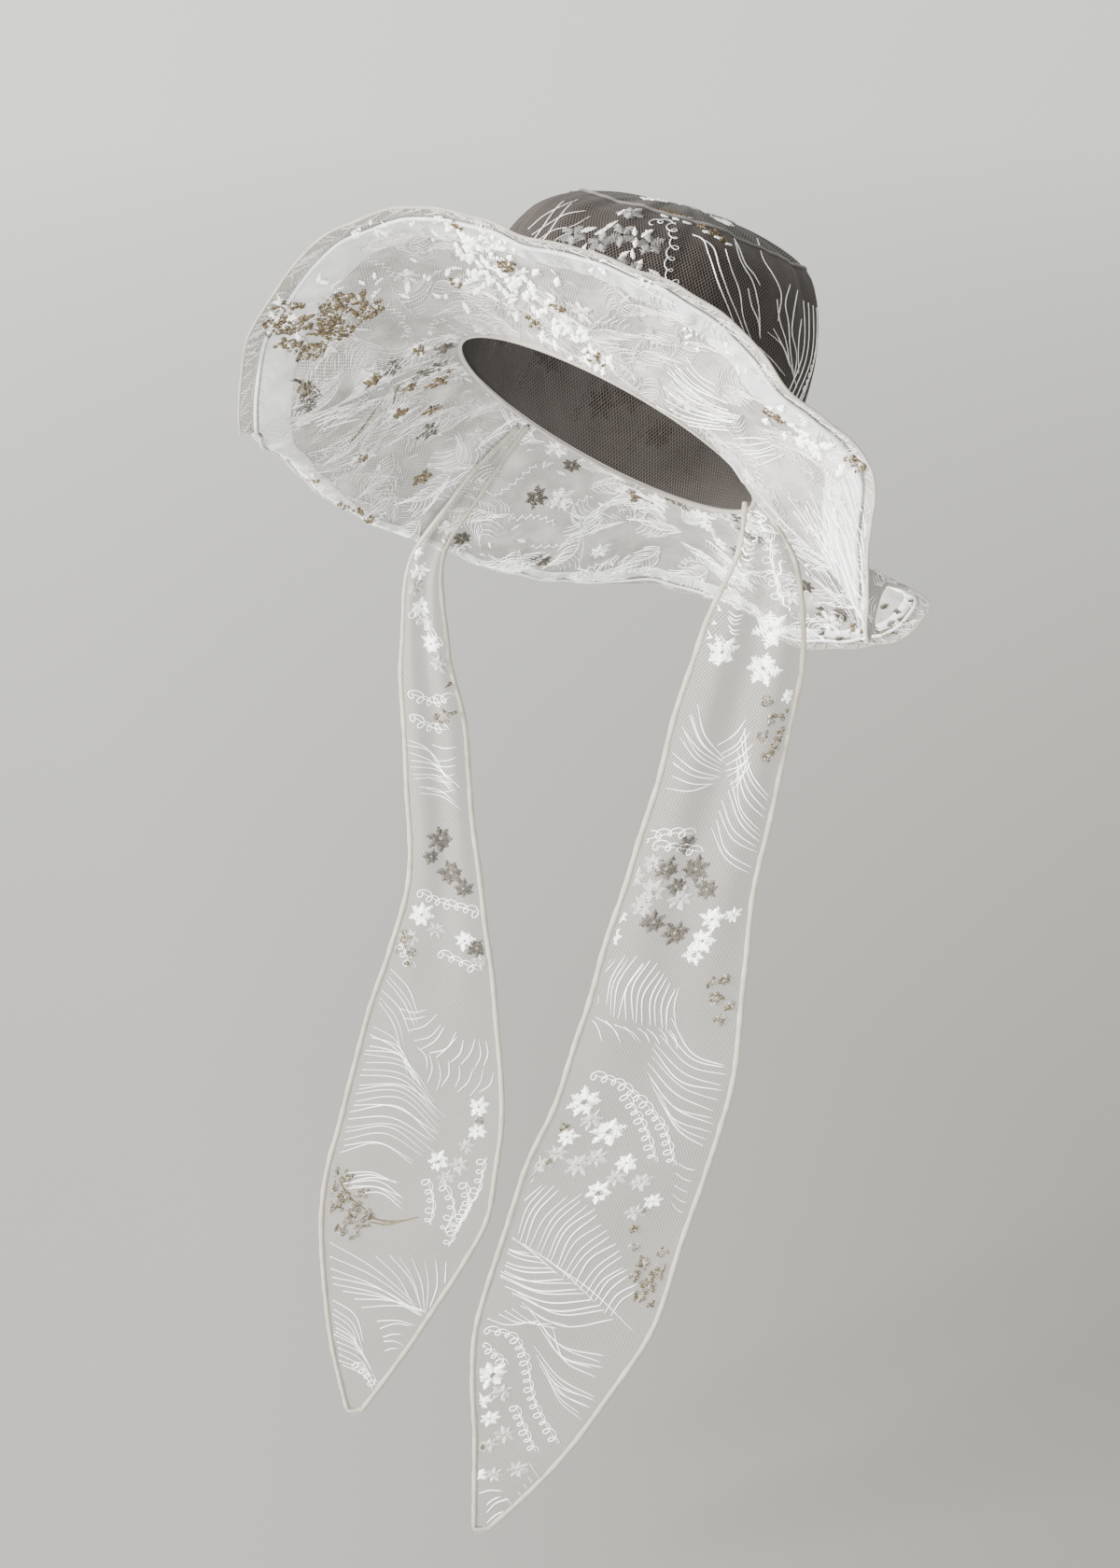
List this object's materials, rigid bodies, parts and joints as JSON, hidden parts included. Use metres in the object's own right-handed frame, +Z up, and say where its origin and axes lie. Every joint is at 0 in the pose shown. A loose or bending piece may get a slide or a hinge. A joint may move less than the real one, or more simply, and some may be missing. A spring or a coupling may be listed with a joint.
{
  "type": "lace hat with hanging ties",
  "caption": "Soft lace hat with a bucket crown, a wide wavy brim faced with satin tape under the rim, and long net ties with slanted points.",
  "frame": {"origin": "middle of the head opening, where the hat sits on a head", "axes": "+Z up, the wearer looks along -Y, the wearer's left is +X"},
  "size_m": [0.3669, 0.3268, 0.7727],
  "materials": {
    "crown_net": "sheer lace net",
    "brim_net": "sheer lace in two layers",
    "satin": "satin",
    "pale_edge": "bound edge",
    "tie_net": "clear net"
  },
  "bodies": {
    "root": {"crown_band": "crown_net", "crown_tip": "crown_net", "opening_binding": "pale_edge", "brim": "brim_net", "brim_hem": "brim_net", "facing_tape": "satin", "facing_cord": "satin", "tie_left": "tie_net", "tie_left_binding": "pale_edge", "tie_right": "tie_net", "tie_right_binding": "pale_edge"}
  },
  "joints": []
}
